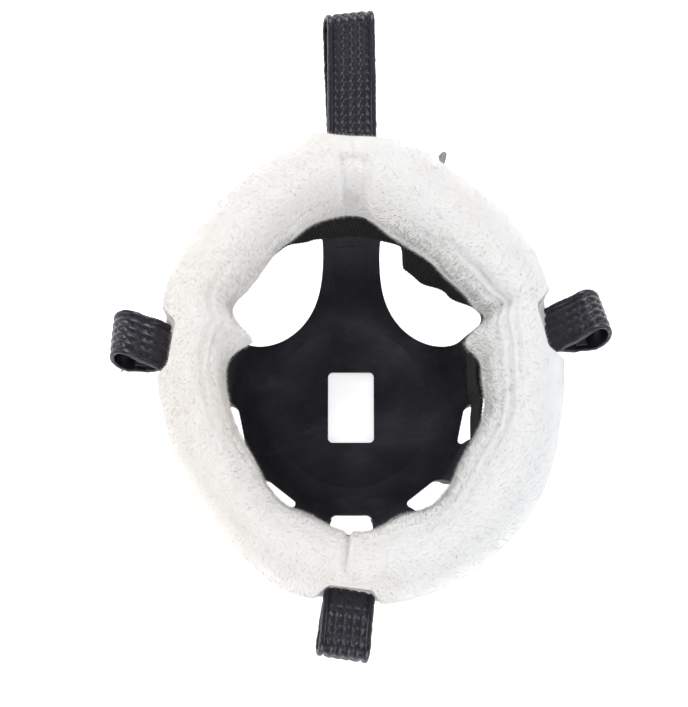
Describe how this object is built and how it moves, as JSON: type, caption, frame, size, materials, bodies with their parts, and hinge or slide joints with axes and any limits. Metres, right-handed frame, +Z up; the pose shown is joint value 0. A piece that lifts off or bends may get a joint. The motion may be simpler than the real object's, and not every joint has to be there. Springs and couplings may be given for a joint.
{
  "type": "fleece-lined grazing muzzle",
  "caption": "Rubber grazing basket with a grass hole, hung on webbing under a fleece-covered nose ring with hook-and-loop headcollar loops.",
  "frame": {"origin": "centre of the grass hole, on the underside of the rubber base", "axes": "+Z up out of the open end, +Y towards the nose side, +X towards the right cheek as seen from above"},
  "size_m": [0.2832, 0.3649, 0.152],
  "materials": {
    "rubber": "matte moulded",
    "webbing": "ribbed polyester webbing",
    "fleece": "faux sheepskin pile",
    "cover": "embossed, semi-gloss",
    "pile_tape": "brushed loop pile",
    "hook_tape": "rows of fine hooks",
    "thread": "bonded thread",
    "label": "plain woven, blank"
  },
  "bodies": {
    "muzzle": {"rubber_basket": "rubber", "basket_band": "webbing", "nose_band": "webbing", "front_strap": "webbing", "cheek_strap_left": "webbing", "side_strap_left": "webbing", "chin_strap_left": "webbing", "chin_strap_right": "webbing", "side_strap_right": "webbing", "cheek_strap_right": "webbing", "label": "label", "fleece_left": "fleece", "fleece_right": "fleece"},
    "front_loop": {"front_loop_lower_cover": "cover", "front_loop_pile_tape": "pile_tape"},
    "front_flap": {"front_loop_upper_cover": "cover", "front_loop_hook_tape": "hook_tape"},
    "chin_loop": {"chin_loop_lower_cover": "cover", "chin_loop_pile_tape": "pile_tape"},
    "chin_flap": {"chin_loop_upper_cover": "cover", "chin_loop_hook_tape": "hook_tape"},
    "left_loop": {"left_loop_lower_cover": "cover", "left_loop_pile_tape": "pile_tape"},
    "left_flap": {"left_loop_upper_cover": "cover", "left_loop_hook_tape": "hook_tape"},
    "right_loop": {"right_loop_lower_cover": "cover", "right_loop_pile_tape": "pile_tape"},
    "right_flap": {"right_loop_upper_cover": "cover", "right_loop_hook_tape": "hook_tape"}
  },
  "joints": [
    {"name": "front_loop_swing", "type": "hinge", "parent": "muzzle", "child": "front_loop", "pos_m": [0, 0.1412, 0.12], "axis": [0.9997, 0.0262, 0], "range_deg": [-60, 20]},
    {"name": "front_flap_open", "type": "hinge", "parent": "front_loop", "child": "front_flap", "pos_m": [-0.00183, 0.21118, 0.12225], "axis": [-0.9997, -0.0262, 0], "range_deg": [0, 160]},
    {"name": "chin_loop_swing", "type": "hinge", "parent": "muzzle", "child": "chin_loop", "pos_m": [-0.0025, -0.1254, 0.12], "axis": [-0.9925, 0.1219, 0], "range_deg": [-60, 20]},
    {"name": "chin_flap_open", "type": "hinge", "parent": "chin_loop", "child": "chin_flap", "pos_m": [-0.00573, -0.1517, 0.12225], "axis": [0.9925, -0.1219, 0], "range_deg": [0, 160]},
    {"name": "left_loop_swing", "type": "hinge", "parent": "muzzle", "child": "left_loop", "pos_m": [-0.1093, 0.019, 0.12], "axis": [0.1908, 0.9816, 0], "range_deg": [-60, 20]},
    {"name": "left_flap_open", "type": "hinge", "parent": "left_loop", "child": "left_flap", "pos_m": [-0.13384, 0.02377, 0.12225], "axis": [-0.1908, -0.9816, 0], "range_deg": [0, 160]},
    {"name": "right_loop_swing", "type": "hinge", "parent": "muzzle", "child": "right_loop", "pos_m": [0.1184, 0.03, 0.12], "axis": [0.2588, -0.9659, 0], "range_deg": [-60, 20]},
    {"name": "right_flap_open", "type": "hinge", "parent": "right_loop", "child": "right_flap", "pos_m": [0.14303, 0.0366, 0.12225], "axis": [-0.2588, 0.9659, 0], "range_deg": [0, 160]}
  ]
}
